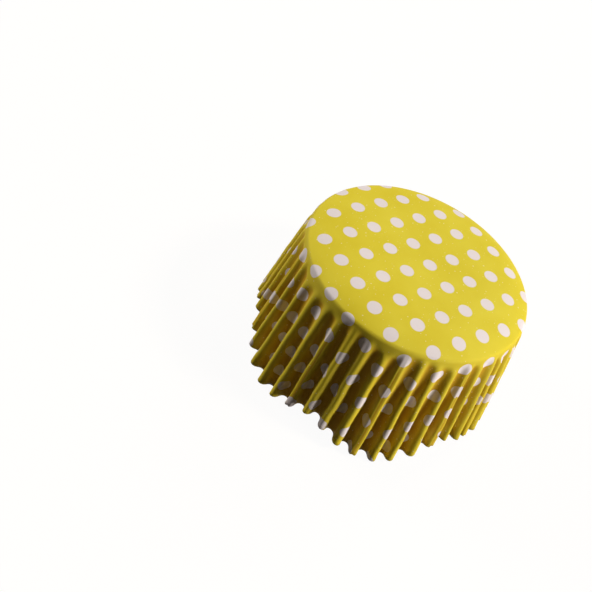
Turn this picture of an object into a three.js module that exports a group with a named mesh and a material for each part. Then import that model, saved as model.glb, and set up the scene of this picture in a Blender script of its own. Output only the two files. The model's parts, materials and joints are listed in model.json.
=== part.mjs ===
// A fluted baking cup of greaseproof paper, upside down on its scalloped rim.
// Millimetres, +Z up. The origin lies under the middle of the cup, on the surface that it stands on.
import * as THREE from 'three';

// The base is flat in the middle and droops to its edge, where a small corner ends at the base radius
const baseRadius = 25;
const cornerRadius = 1.1;
const baseFlatRadius = 9;
const edgeDroop = THREE.MathUtils.degToRad(23);
const crownPower = 4;

// The wall, measured down the slope from the corner to a notch between two petals
const wallLength = 21.6;
const wallLean = THREE.MathUtils.degToRad(6.8);
const paperThickness = 0.3;

// The scalloped edge
const petals = 6;
const petalRise = 4.8;
const notchSoftness = 0.12;
const notchBearing = THREE.MathUtils.degToRad(-97.6);

// The sheet was pleated off centre, so the wall is longer on one side
const blankShift = 3.6;
const blankShiftBearing = THREE.MathUtils.degToRad(-99);

// The flutes, which crowd a little on two sides
const flutes = 46;
const crestBearing = THREE.MathUtils.degToRad(-138.7);
const crowding = THREE.MathUtils.degToRad(2.7);
const crowdingBearing = THREE.MathUtils.degToRad(-103);

// How finely the surface is divided
const columnsPerFlute = 6;
const baseRows = 3;
const baseRowSpread = 0.6;
const cornerRows = 2;
const wallRows = 4;

const paper = new THREE.MeshStandardMaterial({
  name: 'printed_paper',
  color: 0xdcc942,
  roughness: 0.6,
  metalness: 0,
});

// The corner is an arc that leaves the drooping edge and meets the wall without a break
const wallSlope = Math.PI / 2 - wallLean;
const cornerStart = baseRadius - cornerRadius * (Math.sin(wallSlope) - Math.sin(edgeDroop));
const cornerLength = cornerRadius * (wallSlope - edgeDroop);
const baseCrown = (Math.tan(edgeDroop) * (cornerStart - baseFlatRadius)) / crownPower;
const cornerDepth = baseCrown + cornerRadius * (Math.cos(edgeDroop) - Math.cos(wallSlope));

// Distance down the wall from the corner to the rim, at a bearing on the flat sheet
function rimDistance(bearing) {
  const wave = Math.hypot(Math.sin((petals / 2) * (bearing - notchBearing)), notchSoftness);
  const rise = (wave - notchSoftness) / (Math.hypot(1, notchSoftness) - notchSoftness);
  return wallLength + petalRise * rise + blankShift * Math.cos(bearing - blankShiftBearing);
}

// The middle of the pleated sheet: its radius, depth below the base, slope and radius on the flat sheet
function basePoint(share) {
  const radius = share * cornerStart;
  const out = Math.max(0, (radius - baseFlatRadius) / (cornerStart - baseFlatRadius));
  const slope = Math.atan(Math.tan(edgeDroop) * out ** (crownPower - 1));
  return { radius, depth: baseCrown * out ** crownPower, slope, flat: radius };
}

function cornerPoint(share) {
  const slope = edgeDroop + share * (wallSlope - edgeDroop);
  return {
    radius: cornerStart + cornerRadius * (Math.sin(slope) - Math.sin(edgeDroop)),
    depth: baseCrown + cornerRadius * (Math.cos(edgeDroop) - Math.cos(slope)),
    slope,
    flat: cornerStart + share * cornerLength,
  };
}

function wallPoint(share, bearing) {
  const along = share * rimDistance(bearing);
  return {
    radius: baseRadius + along * Math.sin(wallLean),
    depth: cornerDepth + along * Math.cos(wallLean),
    slope: wallSlope,
    flat: cornerStart + cornerLength + along,
  };
}

// The rows run from the middle of the base to the rim, and those on the base draw together at its edge
const rows = [() => basePoint(0), () => basePoint(baseFlatRadius / cornerStart)];
for (let i = 1; i <= baseRows; i += 1) {
  const flatShare = baseFlatRadius / cornerStart;
  rows.push(() => basePoint(flatShare + (1 - flatShare) * (i / baseRows) ** baseRowSpread));
}
for (let i = 1; i <= cornerRows; i += 1) rows.push(() => cornerPoint(i / cornerRows));
for (let i = 1; i <= wallRows; i += 1) rows.push((bearing) => wallPoint(i / wallRows, bearing));

// A pleat keeps the length of its paper. The paper swings from side to side by an angle that grows with the
// length to take up, and Bessel series give how far it then runs round the cup and in or out.
function pleat(middle, share) {
  const spare = middle.flat > 0 ? 1 - middle.radius / middle.flat : 0;
  const z = 2 * Math.sqrt(Math.max(0, spare + 0.25 * spare ** 2 + 0.0972 * spare ** 3));
  const j1 = z / 2 - z ** 3 / 16 + z ** 5 / 384;
  const j2 = z ** 2 / 8 - z ** 4 / 96 + z ** 6 / 3072;
  const j3 = z ** 3 / 48 - z ** 5 / 768;
  const length = (2 * Math.PI * middle.flat) / flutes;
  const turn = 2 * Math.PI * share;
  return {
    round: length * ((1 - spare) * share + (j2 / (2 * Math.PI)) * Math.sin(2 * turn)),
    out: (length / Math.PI) * (j1 * Math.cos(turn) + (j3 / 3) * Math.cos(3 * turn)),
    swing: z * Math.sin(turn),
  };
}

function crestAt(flute) {
  const even = crestBearing + (flute * 2 * Math.PI) / flutes;
  return even + crowding * Math.sin(2 * (even - crowdingBearing));
}

// One point of the sheet, with the base in the plane z = 0 and the wall below it
function sheetPoint(row, column, inset) {
  const flute = Math.floor(column / columnsPerFlute);
  const share = (column % columnsPerFlute) / columnsPerFlute;
  const crest = crestAt(flute);
  const width = crestAt(flute + 1) - crest;
  const middle = row(crest + share * width);
  const fold = pleat(middle, share);
  const evenWidth = (2 * Math.PI) / flutes;
  const bearing = crest + (middle.radius > 0 ? (fold.round / middle.radius) * (width / evenWidth) : 0);
  const rise = fold.out - inset * Math.cos(fold.swing);
  const radius = middle.radius + rise * Math.sin(middle.slope);
  const point = new THREE.Vector3(radius * Math.cos(bearing), radius * Math.sin(bearing), 0);
  point.x += inset * Math.sin(fold.swing) * Math.sin(bearing);
  point.y -= inset * Math.sin(fold.swing) * Math.cos(bearing);
  point.z = rise * Math.cos(middle.slope) - middle.depth;
  return point;
}

// The lathe gives a closed skin of the right make-up: inside from the middle to the rim, and outside back again
function bakingCupGeometry() {
  const inside = rows.map((row) => ({ row, inset: paperThickness }));
  const outside = rows.map((row) => ({ row, inset: 0 })).reverse();
  const skin = [...inside, ...outside];
  const profile = skin.map(({ row, inset }) => {
    const point = sheetPoint(row, 0, inset);
    return new THREE.Vector2(Math.hypot(point.x, point.y), point.z);
  });
  const columns = flutes * columnsPerFlute;
  const geometry = new THREE.LatheGeometry(profile, columns);
  const position = geometry.getAttribute('position');
  for (let column = 0; column <= columns; column += 1) {
    skin.forEach(({ row, inset }, level) => {
      const point = sheetPoint(row, column % columns, inset);
      position.setXYZ(column * skin.length + level, point.x, point.y, point.z);
    });
  }
  geometry.computeVertexNormals();
  return geometry;
}

const bakingCup = new THREE.Mesh(bakingCupGeometry(), paper);
bakingCup.name = 'baking_cup';

// The petal tips lie in one plane, which leans by as much as the longer side asks. That plane is laid level.
const tipRadius = baseRadius + (wallLength + petalRise) * Math.sin(wallLean);
const tipFall = (blankShift * Math.cos(wallLean)) / tipRadius;
const tipPlaneNormal = new THREE.Vector3(
  tipFall * Math.cos(blankShiftBearing),
  tipFall * Math.sin(blankShiftBearing),
  1,
).normalize();
bakingCup.quaternion.setFromUnitVectors(tipPlaneNormal, new THREE.Vector3(0, 0, 1));
bakingCup.updateMatrixWorld(true);
const extent = new THREE.Box3().setFromObject(bakingCup, true);
const middle = extent.getCenter(new THREE.Vector3());
bakingCup.position.set(-middle.x, -middle.y, -extent.min.z);

const cup = new THREE.Group();
cup.add(bakingCup);

export default cup;
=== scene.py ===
import bpy
import json
import math
from mathutils import Matrix, Vector


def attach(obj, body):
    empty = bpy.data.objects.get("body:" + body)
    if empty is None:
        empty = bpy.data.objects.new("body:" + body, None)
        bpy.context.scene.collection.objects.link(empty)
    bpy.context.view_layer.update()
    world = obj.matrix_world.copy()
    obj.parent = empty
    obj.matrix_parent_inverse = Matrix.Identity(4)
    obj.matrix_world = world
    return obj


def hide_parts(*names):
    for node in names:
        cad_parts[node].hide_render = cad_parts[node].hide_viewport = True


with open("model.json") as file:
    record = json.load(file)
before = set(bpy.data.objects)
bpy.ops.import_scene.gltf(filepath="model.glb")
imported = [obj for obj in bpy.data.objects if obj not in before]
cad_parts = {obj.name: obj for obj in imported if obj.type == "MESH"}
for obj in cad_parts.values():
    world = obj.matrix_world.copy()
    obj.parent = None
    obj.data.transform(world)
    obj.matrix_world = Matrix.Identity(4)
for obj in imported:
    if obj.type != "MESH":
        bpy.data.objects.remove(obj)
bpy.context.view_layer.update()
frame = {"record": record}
baseMount = next(mount for mount in frame["record"]["mounts"] if mount["name"] == "base")
mm = 0.001

# Sizes of the paper cup in millimetres and degrees. Down to "Crowding bearing" they are the solid's own.
# The rest make the paper less even, paint shade on it and place its print.
cupSizes = {
    "Base radius": 25.0,
    "Corner radius": 1.1,
    "Base flat radius": 9.0,
    "Edge droop": 23.0,
    "Wall length": 21.6,
    "Wall lean": 6.8,
    "Petals": 6.0,
    "Petal rise": 4.8,
    "Notch softness": 0.12,
    "Notch bearing": -97.6,
    "Blank shift": 3.6,
    "Blank shift bearing": -99.0,
    "Flutes": 46.0,
    "Crest bearing": -138.7,
    "Crowding": 2.7,
    "Crowding bearing": -103.0,
    "Crest sharpness": 0.06,
    "Bearing wander": 0.8,
    "Depth wander": 0.16,
    "First fold": 0.9,
    "Late start": 2.6,
    "Full depth after": 1.2,
    "Sideways kinks": 0.14,
    "Pinched share": 0.22,
    "Pinch depth": 0.4,
    "Pinched after": 6.0,
    # painted shade: the share of the groove's darker, browner colour that the corner and the whole wall
    # take
    "Crest shade": 0.18,
    "Corner take-up": 0.3,
    "Seed": 7,
}
cupDivisions = {"columnsPerFlute": 14, "baseRows": 14, "cornerRows": 6, "wallRows": 34}
crownPower = 4
paperThickness = 0.11 * mm
weldDistance = 0.002 * mm

# How the small creases run, and the numbers that keep their chance values apart
creases = {
    "wanderSalt": 11, "startSalt": 23, "depthSalt": 37, "pinchSalt": 53,
    "pinchOnset": 20.0, "pinchNarrowness": 24,
    "kinksAround": 5.5, "kinksDown": 0.16, "kinkDetail": 1.5, "kinksFullAt": 12,
    "kinkSideways": 4, "kinkInOrOut": 2.4,
}


def srgb(red, green, blue):
    # picture values from 0 to 255 as the linear colour that a shader wants
    def linear(value):
        share = value / 255
        return share / 12.92 if share <= 0.04045 else ((share + 0.055) / 1.055) ** 2.4
    return (linear(red), linear(green), linear(blue), 1.0)


class Field:
    # a number that a node tree works out, written like ordinary arithmetic
    def __init__(self, tree, socket):
        self.tree = tree
        self.socket = socket

    def step(self, operation, *others):
        node = self.tree.nodes.new("ShaderNodeMath")
        node.operation = operation
        for slot, value in zip(node.inputs, (self, *others)):
            if isinstance(value, Field):
                self.tree.links.new(value.socket, slot)
            else:
                slot.default_value = value
        return Field(self.tree, node.outputs[0])

    def __add__(self, other):
        return self.step("ADD", other)

    def __sub__(self, other):
        return self.step("SUBTRACT", other)

    def __mul__(self, other):
        return self.step("MULTIPLY", other)

    def __truediv__(self, other):
        return self.step("DIVIDE", other)

    def __rsub__(self, other):
        return self.step("MULTIPLY", -1.0).step("ADD", other)

    def __rtruediv__(self, other):
        return self.step("POWER", -1.0).step("MULTIPLY", other)

    def __pow__(self, power):
        result = self
        for _ in range(power - 1):
            result = result * self
        return result

    __radd__ = __add__
    __rmul__ = __mul__

    def sin(self):
        return self.step("SINE")

    def cos(self):
        return self.step("COSINE")

    def tan(self):
        return self.step("TANGENT")

    def floor(self):
        return self.step("FLOOR")

    def root(self):
        return self.step("SQRT")

    def atLeast(self, low):
        return self.step("MAXIMUM", low)

    def share(self):
        # kept between 0 and 1
        return self.atLeast(0.0).step("MINIMUM", 1.0)


def joinVector(tree, x, y, z):
    node = tree.nodes.new("ShaderNodeCombineXYZ")
    for slot, value in zip(node.inputs, (x, y, z)):
        if isinstance(value, Field):
            tree.links.new(value.socket, slot)
        else:
            slot.default_value = value
    return node.outputs[0]


def flutedPaperTree():
    # a flat grid becomes the sheet: columns run round the cup, rows from the middle of the base to the rim
    tree = bpy.data.node_groups.new("flutedPaper", "GeometryNodeTree")
    interface = tree.interface
    interface.new_socket("Geometry", in_out="OUTPUT", socket_type="NodeSocketGeometry")
    for name in cupSizes:
        kind = "NodeSocketInt" if name == "Seed" else "NodeSocketFloat"
        interface.new_socket(name, in_out="INPUT", socket_type=kind)
    interface.new_socket("Material", in_out="INPUT", socket_type="NodeSocketMaterial")
    nodes, links = tree.nodes, tree.links
    given = nodes.new("NodeGroupInput")
    result = nodes.new("NodeGroupOutput")

    def size(name):
        return Field(tree, given.outputs[name])

    def angle(name):
        return size(name).step("RADIANS")

    fullTurn = 2 * math.pi
    perFlute = cupDivisions["columnsPerFlute"]
    baseRows, cornerRows, wallRows = (cupDivisions[key] for key in ("baseRows", "cornerRows", "wallRows"))
    columns = int(cupSizes["Flutes"]) * perFlute
    rows = baseRows + cornerRows + wallRows
    grid = nodes.new("GeometryNodeMeshGrid")
    grid.inputs["Size X"].default_value = columns
    grid.inputs["Size Y"].default_value = rows
    grid.inputs["Vertices X"].default_value = columns + 1
    grid.inputs["Vertices Y"].default_value = rows + 1
    place = nodes.new("GeometryNodeInputPosition")
    parts = nodes.new("ShaderNodeSeparateXYZ")
    links.new(place.outputs[0], parts.inputs[0])
    column = (Field(tree, parts.outputs[0]) + columns / 2 + 0.5).floor()
    row = Field(tree, parts.outputs[1]) + rows / 2

    # which flute a column belongs to, and how far across it lies
    flute = ((column + 0.25) / perFlute).floor()
    across = column / perFlute - flute
    evenWidth = fullTurn / size("Flutes")

    def perCrest(number, low, high, salt):
        # one fixed chance value for each crest, the same at both ends of the sheet
        chance = nodes.new("FunctionNodeRandomValue")
        chance.data_type = "FLOAT"
        ends = {slot.identifier: slot for slot in chance.inputs}
        ends["Min_001"].default_value = low
        ends["Max_001"].default_value = high
        links.new(number.step("MODULO", cupSizes["Flutes"]).socket, ends["ID"])
        links.new((size("Seed") + creases[salt]).socket, ends["Seed"])
        return Field(tree, next(out for out in chance.outputs if out.identifier == "Value_001"))

    def crestAt(number):
        even = angle("Crest bearing") + number * evenWidth
        drift = angle("Crowding") * (2 * (even - angle("Crowding bearing"))).sin()
        return even + drift + angle("Bearing wander") * perCrest(number, -1.0, 1.0, "wanderSalt")

    def between(low, high, salt):
        # a chance value that runs smoothly from one crest to the next
        first = perCrest(flute, low, high, salt)
        second = perCrest(flute + 1, low, high, salt)
        blend = 0.5 - 0.5 * (across * math.pi).cos()
        return first + (second - first) * blend

    crest = crestAt(flute)
    width = crestAt(flute + 1) - crest
    flatBearing = crest + across * width

    # the base droops to its corner, an arc that ends where the wall begins
    corner, baseFlat = size("Corner radius"), size("Base flat radius")
    lean, droop = angle("Wall lean"), angle("Edge droop")
    turn = math.pi / 2 - lean
    cornerStart = size("Base radius") - corner * (turn.sin() - droop.sin())
    crown = droop.tan() * (cornerStart - baseFlat) / crownPower

    # the distance down the wall to the scalloped rim
    wave = (size("Petals") / 2 * (flatBearing - angle("Notch bearing"))).sin()
    soft = size("Notch softness")
    scallop = ((wave ** 2 + soft ** 2).root() - soft) / ((1 + soft ** 2).root() - soft)
    offCentre = size("Blank shift") * (flatBearing - angle("Blank shift bearing")).cos()
    down = size("Wall length") + size("Petal rise") * scallop + offCentre

    # the middle of the pleated sheet at this row
    baseShare = (row / baseRows).share()
    cornerShare = ((row - baseRows) / cornerRows).share()
    wallShare = ((row - baseRows - cornerRows) / wallRows).share()
    onBase = baseShare * cornerStart
    outer = (onBase - baseFlat).atLeast(0.0) / (cornerStart - baseFlat)
    turned = cornerShare * (turn - droop)
    slope = (droop.tan() * outer ** (crownPower - 1)).step("ARCTANGENT") + turned
    flatRadius = onBase + corner * turned + wallShare * down
    radius = onBase + corner * ((droop + turned).sin() - droop.sin()) + wallShare * down * lean.sin()
    depth = crown * outer ** crownPower + corner * (droop.cos() - (droop + turned).cos())
    depth = depth + wallShare * down * lean.cos()

    # the swing of the pleat keeps the length of the paper, and its series give the place of each point
    spare = (1 - radius / flatRadius.atLeast(0.001)).atLeast(0.0)
    swing = 2 * (spare + 0.25 * spare ** 2 + 0.0972 * spare ** 3).root()
    belowCorner = flatRadius - cornerStart
    begins = size("First fold") + between(0.0, 1.0, "startSalt") * size("Late start")
    opened = ((belowCorner - begins) / size("Full depth after")).share()
    opened = opened * opened * (3 - 2 * opened)
    swing = swing * opened * (1 + size("Depth wander") * between(-1.0, 1.0, "depthSalt"))
    seriesOne = swing / 2 - swing ** 3 / 16 + swing ** 5 / 384
    seriesTwo = swing ** 2 / 8 - swing ** 4 / 96 + swing ** 6 / 3072
    seriesThree = swing ** 3 / 48 - swing ** 5 / 768
    length = fullTurn * flatRadius / size("Flutes")
    phase = across * fullTurn
    runs = length * ((1 - spare) * across + seriesTwo / fullTurn * (2 * phase).sin())
    out = length / math.pi * (seriesOne * phase.cos() + seriesThree / 3 * (3 * phase).cos())
    out = out + size("Crest sharpness") * length / math.pi * seriesOne * (2 * phase).cos()

    # some crests are pinched along their middle
    nearest = (column / perFlute + 0.5).floor()
    chosen = size("Pinched share") - perCrest(nearest, 0.0, 1.0, "pinchSalt")
    pinched = (chosen * creases["pinchOnset"]).share()
    pinched = pinched * phase.cos().atLeast(0.0) ** creases["pinchNarrowness"]
    pinched = pinched * ((belowCorner - begins) / size("Pinched after")).share()
    out = out - size("Pinch depth") * pinched

    # small kinks, which grow down the wall
    noise = nodes.new("ShaderNodeTexNoise")
    noise.inputs["Scale"].default_value = 1.0
    noise.inputs["Detail"].default_value = creases["kinkDetail"]
    around = flatBearing.cos() * creases["kinksAround"]
    beside = flatBearing.sin() * creases["kinksAround"]
    along = flatRadius * creases["kinksDown"]
    links.new(joinVector(tree, around, beside, along), noise.inputs["Vector"])
    kink = nodes.new("ShaderNodeSeparateXYZ")
    links.new(noise.outputs["Color"], kink.inputs[0])
    loose = (belowCorner / creases["kinksFullAt"]).share() * size("Sideways kinks")
    sideways = (Field(tree, kink.outputs[0]) - 0.5) * loose * creases["kinkSideways"]
    inOrOut = (Field(tree, kink.outputs[1]) - 0.5) * loose * creases["kinkInOrOut"]

    bearing = crest + (runs * width / evenWidth + sideways) / radius.atLeast(0.001)
    out = out + inOrOut
    finalRadius = radius + out * slope.sin()
    height = out * slope.cos() - depth
    spot = joinVector(tree, finalRadius * bearing.cos() * mm, finalRadius * bearing.sin() * mm, height * mm)

    # the place of each point on the flat sheet carries the print: the droop takes up paper by the length
    # of its curve, and the corner by its small creases
    taken = droop.tan() ** 2 * (cornerStart - baseFlat) / (4 * crownPower - 2)
    printRadius = flatRadius + taken * outer ** (2 * crownPower - 1)
    printRadius = printRadius + size("Corner take-up") * cornerShare
    onSheet = joinVector(tree, printRadius * flatBearing.cos(), printRadius * flatBearing.sin(), 0.0)
    keep = nodes.new("GeometryNodeStoreNamedAttribute")
    keep.data_type = "FLOAT2"
    keep.domain = "CORNER"
    keep.inputs["Name"].default_value = "flatSheet"
    links.new(grid.outputs["Mesh"], keep.inputs["Geometry"])
    links.new(onSheet, keep.inputs["Value"])

    # painted shade: how strongly the paper's colour is darkened and browned in place of the shade of the
    # folds, from 0 on the base, through a faint share over the corner and the whole wall, to 1 in a groove
    inGroove = (0.5 - 0.5 * phase.cos()).atLeast(pinched) * opened
    shade = size("Crest shade") * cornerShare + (1 - size("Crest shade")) * inGroove
    paintedShadeStore = nodes.new("GeometryNodeStoreNamedAttribute")
    paintedShadeStore.data_type = "FLOAT"
    paintedShadeStore.domain = "POINT"
    paintedShadeStore.inputs["Name"].default_value = "paintedFoldShade"
    links.new(keep.outputs[0], paintedShadeStore.inputs["Geometry"])
    links.new(shade.socket, paintedShadeStore.inputs["Value"])

    move = nodes.new("GeometryNodeSetPosition")
    links.new(paintedShadeStore.outputs[0], move.inputs["Geometry"])
    links.new(spot, move.inputs["Position"])
    weld = nodes.new("GeometryNodeMergeByDistance")
    weld.inputs["Distance"].default_value = weldDistance
    flip = nodes.new("GeometryNodeFlipFaces")
    smooth = nodes.new("GeometryNodeSetShadeSmooth")
    realize = nodes.new("GeometryNodeRealizeInstances")
    dress = nodes.new("GeometryNodeSetMaterial")
    chain = [move, weld, flip, smooth, realize, dress]
    for before, after in zip(chain, chain[1:]):
        links.new(before.outputs[0], after.inputs[0])
    links.new(given.outputs["Material"], dress.inputs["Material"])
    links.new(dress.outputs[0], result.inputs[0])
    return tree


def setInputs(modifier, values):
    # inputs are set by the socket's identifier
    for item in modifier.node_group.interface.items_tree:
        if item.item_type == "SOCKET" and item.in_out == "INPUT":
            modifier[item.identifier] = values[item.name]


def plainMesh(piece):
    # what the modifiers make becomes the piece's own mesh
    evaluated = piece.evaluated_get(bpy.context.evaluated_depsgraph_get())
    mesh = bpy.data.meshes.new_from_object(evaluated)
    piece.modifiers.clear()
    piece.data = mesh
    return mesh


def groupWith(name, inputs, outputs):
    # a shader node group with its sockets
    tree = bpy.data.node_groups.new(name, "ShaderNodeTree")
    for label, kind in inputs:
        tree.interface.new_socket(label, in_out="INPUT", socket_type=kind)
    for label, kind in outputs:
        tree.interface.new_socket(label, in_out="OUTPUT", socket_type=kind)
    return tree, tree.nodes.new("NodeGroupInput"), tree.nodes.new("NodeGroupOutput")


# The lattice of dots on the flat sheet, in millimetres and degrees: "nearest" is the dot next to the middle
dotPrint = {"pitch": 6.36, "turned": 56.88, "nearest": (1.753, -0.253)}


def dotGroup():
    # round dots in a square lattice over the flat sheet
    tree, given, result = groupWith(
        "polkaDots",
        [("Sheet", "NodeSocketVector"), ("Radius", "NodeSocketFloat"), ("Softness", "NodeSocketFloat")],
        [("Mask", "NodeSocketFloat")])
    nodes, links = tree.nodes, tree.links
    turn = nodes.new("ShaderNodeMapping")
    turn.vector_type = "TEXTURE"
    turn.inputs["Location"].default_value = (*dotPrint["nearest"], 0)
    turn.inputs["Rotation"].default_value = (0, 0, math.radians(dotPrint["turned"]))
    turn.inputs["Scale"].default_value = (dotPrint["pitch"],) * 3
    links.new(given.outputs["Sheet"], turn.inputs["Vector"])
    parts = nodes.new("ShaderNodeSeparateXYZ")
    links.new(turn.outputs[0], parts.inputs[0])

    def fromCentre(number):
        return (Field(tree, parts.outputs[number]) + 0.5).step("FRACT") - 0.5

    away = (fromCentre(0) ** 2 + fromCentre(1) ** 2).root() * dotPrint["pitch"]
    radius = Field(tree, given.outputs["Radius"])
    softness = Field(tree, given.outputs["Softness"])
    mask = ((radius + softness - away) / (2 * softness)).share()
    links.new(mask.socket, result.inputs["Mask"])
    return tree


# The grain of the paper, with scales per millimetre of the flat sheet
paperGrain = {
    "fibreScale": 1.6, "fibreDetail": 4.0, "fibreRoughness": 0.65,
    "blotchScale": 0.09, "blotchDetail": 3.0, "blotchContrast": 1.6,
    "speckScale": 2.1, "speckLevel": 0.77, "speckEdge": 0.05,
    "unevenGloss": 0.16, "bumpDepth": 0.05 * mm,
}


def grainGroup():
    # fine fibres for the bump, wide soft blotches for the colour, and a few pale specks
    tree, given, result = groupWith(
        "paperGrain",
        [("Place", "NodeSocketVector"), ("Fineness", "NodeSocketFloat")],
        [("Fibres", "NodeSocketFloat"), ("Blotches", "NodeSocketFloat"), ("Specks", "NodeSocketFloat")])
    nodes, links = tree.nodes, tree.links

    def noise(scale, detail, roughness):
        node = nodes.new("ShaderNodeTexNoise")
        node.inputs["Detail"].default_value = detail
        node.inputs["Roughness"].default_value = roughness
        links.new((Field(tree, given.outputs["Fineness"]) * scale).socket, node.inputs["Scale"])
        links.new(given.outputs["Place"], node.inputs["Vector"])
        return Field(tree, node.outputs["Fac"])

    fibres = noise(paperGrain["fibreScale"], paperGrain["fibreDetail"], paperGrain["fibreRoughness"])
    wide = noise(paperGrain["blotchScale"], paperGrain["blotchDetail"], 0.5)
    blotches = ((wide - 0.5) * paperGrain["blotchContrast"] + 0.5).share()
    fine = noise(paperGrain["speckScale"], 0.0, 0.5)
    specks = ((fine - paperGrain["speckLevel"]) / paperGrain["speckEdge"]).share()
    links.new(fibres.socket, result.inputs["Fibres"])
    links.new(blotches.socket, result.inputs["Blotches"])
    links.new(specks.socket, result.inputs["Specks"])
    return tree


def mixColour(tree, factor, first, second):
    node = tree.nodes.new("ShaderNodeMix")
    node.data_type = "RGBA"
    slots = {slot.identifier: slot for slot in node.inputs}
    wanted = {"Factor_Float": factor, "A_Color": first, "B_Color": second}
    for name, value in wanted.items():
        if isinstance(value, Field):
            tree.links.new(value.socket, slots[name])
        elif isinstance(value, bpy.types.NodeSocket):
            tree.links.new(value, slots[name])
        else:
            slots[name].default_value = value
    return next(out for out in node.outputs if out.identifier == "Result_Color")


def paperMaterial(name, dots, grain, look):
    # one face of the sheet: its own colours, painted shade in the grooves and over the wall, a painted glow
    # where the look asks for one, the dots as strong as they show there, and the paper's grain
    material = bpy.data.materials.new(name)
    material.use_nodes = True
    tree = material.node_tree
    nodes, links = tree.nodes, tree.links
    shader = nodes["Principled BSDF"]
    sheet = nodes.new("ShaderNodeUVMap")
    sheet.uv_map = "flatSheet"
    grainNode = nodes.new("ShaderNodeGroup")
    grainNode.node_tree = grain
    grainNode.inputs["Fineness"].default_value = look["fineness"]
    links.new(sheet.outputs[0], grainNode.inputs["Place"])
    colour = mixColour(tree, Field(tree, grainNode.outputs["Blotches"]), look["deep"], look["bright"])
    # painted shade: the colour is darkened and browned towards "fold" where the stored painted shade is
    # high
    folds = nodes.new("ShaderNodeAttribute")
    folds.attribute_name = "paintedFoldShade"
    paintedShadeShare = Field(tree, folds.outputs["Fac"]) * look["paintedShadeStrength"]
    colour = mixColour(tree, paintedShadeShare, colour, look["fold"])
    specks = Field(tree, grainNode.outputs["Specks"]) * look["specks"]
    colour = mixColour(tree, specks, colour, look["speck"])
    dotNode = nodes.new("ShaderNodeGroup")
    dotNode.node_tree = dots
    dotNode.inputs["Radius"].default_value = look["dotRadius"]
    dotNode.inputs["Softness"].default_value = look["dotSoftness"]
    links.new(sheet.outputs[0], dotNode.inputs["Sheet"])
    printed = Field(tree, dotNode.outputs["Mask"]) * look["dotStrength"]
    colour = mixColour(tree, printed, colour, look["dot"])
    links.new(colour, shader.inputs["Base Color"])
    links.new(colour, shader.inputs["Emission Color"])
    # painted glow: the face gives off light in its own colour; only the inside uses it
    shader.inputs["Emission Strength"].default_value = look["paintedGlow"]
    roughness = Field(tree, grainNode.outputs["Fibres"]) * paperGrain["unevenGloss"] + look["roughness"]
    links.new(roughness.socket, shader.inputs["Roughness"])
    shader.inputs["Specular IOR Level"].default_value = look["specular"]
    bump = nodes.new("ShaderNodeBump")
    bump.inputs["Strength"].default_value = look["bump"]
    bump.inputs["Distance"].default_value = paperGrain["bumpDepth"]
    links.new(grainNode.outputs["Fibres"], bump.inputs["Height"])
    links.new(bump.outputs[0], shader.inputs["Normal"])
    return material


# Colours of the three faces of the sheet. "fold" is painted shade: the darker, browner colour that the
# paper is given in the grooves and, more faintly, over the whole wall.
printLook = {
    "deep": srgb(211, 189, 30), "bright": srgb(224, 206, 58), "speck": srgb(244, 236, 190),
    "specks": 0.5, "fold": srgb(176, 126, 3), "paintedShadeStrength": 0.85,
    "dot": srgb(228, 216, 214), "dotStrength": 1.0, "dotRadius": 1.54, "dotSoftness": 0.07,
    "roughness": 0.60, "specular": 0.20, "bump": 0.25, "fineness": 1.0, "paintedGlow": 0.0,
}
# the inside paper has a painted glow
insideLook = {
    "deep": srgb(206, 168, 116), "bright": srgb(228, 198, 152), "speck": srgb(238, 218, 184),
    "specks": 0.35, "fold": srgb(206, 168, 116), "paintedShadeStrength": 0.0,
    "dot": srgb(232, 208, 172), "dotStrength": 0.45, "dotRadius": 1.6, "dotSoftness": 0.35,
    "roughness": 0.55, "specular": 0.25, "bump": 0.35, "fineness": 0.8, "paintedGlow": 0.14,
}
edgeLook = {
    "deep": srgb(214, 196, 96), "bright": srgb(232, 218, 140), "speck": srgb(240, 232, 190),
    "specks": 0.3, "fold": srgb(214, 196, 96), "paintedShadeStrength": 0.0,
    "dot": srgb(234, 224, 216), "dotStrength": 0.7, "dotRadius": 1.54, "dotSoftness": 0.1,
    "roughness": 0.6, "specular": 0.2, "bump": 0.3, "fineness": 1.2, "paintedGlow": 0.0,
}


def cupPlacement():
    # from the cup's own frame, base up at its origin, to where the solid lies
    lean = math.radians(cupSizes["Wall lean"])
    toward = math.radians(cupSizes["Blank shift bearing"])
    tipDistance = cupSizes["Wall length"] + cupSizes["Petal rise"]
    tipRadius = cupSizes["Base radius"] + tipDistance * math.sin(lean)
    fall = cupSizes["Blank shift"] * math.cos(lean) / tipRadius
    tipNormal = Vector((fall * math.cos(toward), fall * math.sin(toward), 1.0)).normalized()
    turn = tipNormal.rotation_difference(Vector((0, 0, 1))).to_matrix().to_4x4()
    return Matrix.Translation(Vector(baseMount["pos_m"])) @ turn


def buildCup():
    dots, grain = dotGroup(), grainGroup()
    faces = [paperMaterial("printedPaper", dots, grain, printLook),
             paperMaterial("insidePaper", dots, grain, insideLook),
             paperMaterial("cutEdge", dots, grain, edgeLook)]
    piece = bpy.data.objects.new("paperCup", bpy.data.meshes.new("paperCup"))
    bpy.context.scene.collection.objects.link(piece)
    modifier = piece.modifiers.new("flutes", "NODES")
    modifier.node_group = flutedPaperTree()
    setInputs(modifier, {**cupSizes, "Material": faces[0]})
    mesh = plainMesh(piece)
    mesh.materials.clear()
    for face in faces:
        mesh.materials.append(face)
    mesh.transform(cupPlacement())
    wall = piece.modifiers.new("paper", "SOLIDIFY")
    wall.thickness = paperThickness
    wall.offset = -1
    wall.material_offset = 1
    wall.material_offset_rim = 2
    plainMesh(piece).name = "paperCup"
    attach(piece, "root")
    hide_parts("baking_cup")
    print("cup built:", len(piece.data.polygons), "faces")


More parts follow.
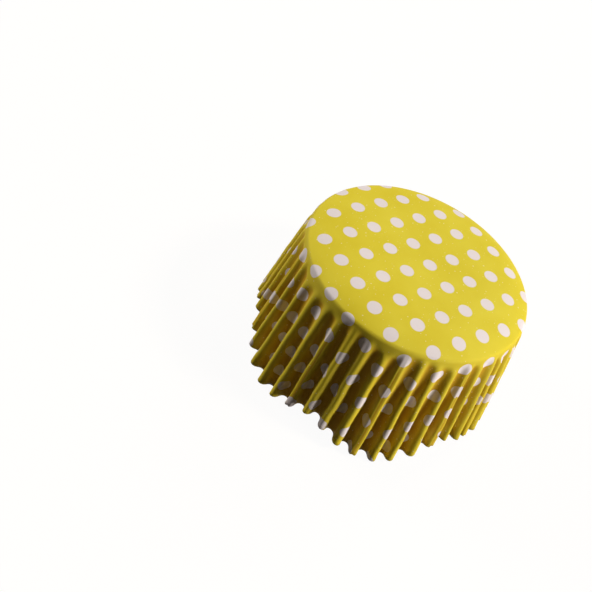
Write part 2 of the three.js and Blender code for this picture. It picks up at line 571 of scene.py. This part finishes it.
def seenDirectly(tree):
    # 1 for a ray from the camera, a reflection or glass, and 0 for light on its way to another surface
    seen = tree.nodes.new("ShaderNodeLightPath")
    direct = Field(tree, seen.outputs["Is Camera Ray"])
    for ray in ("Is Glossy Ray", "Is Transmission Ray"):
        direct = direct + Field(tree, seen.outputs[ray])
    return direct.share()


# A dark floor whose glow lights nothing but shows to the camera, so it looks white and keeps the shadow
floorLook = {"size": 1.6, "colour": srgb(72, 66, 56), "roughness": 0.9, "glow": 0.95}


def buildFloor():
    # from below the floor can be seen through
    mesh = bpy.data.meshes.new("floor")
    half = floorLook["size"] / 2
    corners = [(-half, -half, 0), (half, -half, 0), (half, half, 0), (-half, half, 0)]
    mesh.from_pydata(corners, [], [(0, 1, 2, 3)])
    floor = bpy.data.objects.new("floor", mesh)
    bpy.context.scene.collection.objects.link(floor)
    material = bpy.data.materials.new("paleFloor")
    material.use_nodes = True
    tree = material.node_tree
    nodes, links = tree.nodes, tree.links
    shader = nodes["Principled BSDF"]
    shader.inputs["Base Color"].default_value = floorLook["colour"]
    shader.inputs["Roughness"].default_value = floorLook["roughness"]
    shader.inputs["Specular IOR Level"].default_value = 0.0
    glow = nodes.new("ShaderNodeEmission")
    links.new((seenDirectly(tree) * floorLook["glow"]).socket, glow.inputs["Strength"])
    add = nodes.new("ShaderNodeAddShader")
    links.new(shader.outputs[0], add.inputs[0])
    links.new(glow.outputs[0], add.inputs[1])
    side = nodes.new("ShaderNodeNewGeometry")
    clear = nodes.new("ShaderNodeBsdfTransparent")
    mix = nodes.new("ShaderNodeMixShader")
    links.new(side.outputs["Backfacing"], mix.inputs[0])
    links.new(add.outputs[0], mix.inputs[1])
    links.new(clear.outputs[0], mix.inputs[2])
    links.new(mix.outputs[0], nodes["Material Output"].inputs["Surface"])
    mesh.materials.append(material)
    print("floor built")


worldLook = {"colour": srgb(255, 232, 196), "light": 0.014}


def buildWorld():
    # a faint warm room light, which the camera sees as white
    world = bpy.data.worlds.new("room")
    bpy.context.scene.world = world
    world.use_nodes = True
    tree = world.node_tree
    background = tree.nodes["Background"]
    direct = seenDirectly(tree)
    colour = mixColour(tree, direct, worldLook["colour"], (1, 1, 1, 1))
    strength = direct * (1 - worldLook["light"]) + worldLook["light"]
    tree.links.new(colour, background.inputs["Color"])
    tree.links.new(strength.socket, background.inputs["Strength"])
    print("world built")


# Square lamps round the cup: their places and widths in metres and their power in watts
lampTarget = Vector((0, 0, 15 * mm))
lampLooks = [
    {"name": "keyLamp", "from": (0.76, 0.22, 0.80), "size": 0.20, "power": 8.6,
     "colour": (1.0, 0.985, 0.96)},
    {"name": "backLamp", "from": (0.20, 0.80, 0.62), "size": 0.36, "power": 3.0,
     "colour": (1.0, 0.99, 0.98)},
    {"name": "rightLamp", "from": (1.00, -0.20, 0.07), "size": 0.24, "power": 9.0,
     "colour": (1.0, 0.98, 0.94)},
    {"name": "leftLamp", "from": (-0.80, 0.11, 0.32), "size": 0.30, "power": 4.8,
     "colour": (1.0, 0.98, 0.94)},
]


def buildLamps():
    for look in lampLooks:
        lamp = bpy.data.lights.new(look["name"], "AREA")
        lamp.size = look["size"]
        lamp.energy = look["power"]
        lamp.color = look["colour"]
        holder = bpy.data.objects.new(look["name"], lamp)
        holder.location = look["from"]
        aim = lampTarget - Vector(look["from"])
        holder.rotation_euler = aim.to_track_quat("-Z", "Y").to_euler()
        bpy.context.scene.collection.objects.link(holder)
    print("lamps built:", len(lampLooks))


# The camera in the cup's own frame: its place in millimetres from the base, the directions that it holds,
# and its focal length and picture width in pixels
cameraView = {
    "place": (0.0, -147.1, 115.8),
    "right": (0.8541, 0.4206, 0.3060),
    "up": (-0.5102, 0.5627, 0.6505),
    "focalPixels": 890.4,
    "imagePixels": 592,
    "sensorWidth": 36,
    "clipStart": 5 * mm,
}


def buildCamera():
    camera = bpy.data.cameras.new("camera")
    camera.sensor_width = cameraView["sensorWidth"]
    camera.lens = cameraView["focalPixels"] / cameraView["imagePixels"] * camera.sensor_width
    camera.clip_start = cameraView["clipStart"]
    holder = bpy.data.objects.new("camera", camera)
    bpy.context.scene.collection.objects.link(holder)
    right = Vector(cameraView["right"]).normalized()
    up = Vector(cameraView["up"])
    up = (up - right * up.dot(right)).normalized()
    turn = Matrix((right, up, right.cross(up))).transposed().to_4x4()
    spot = Matrix.Translation(Vector(cameraView["place"]) * mm)
    holder.matrix_world = cupPlacement() @ spot @ turn
    bpy.context.scene.camera = holder
    print("camera placed")


buildCup()
buildFloor()
buildWorld()
buildLamps()
buildCamera()
bpy.context.scene.view_settings.view_transform = "Standard"
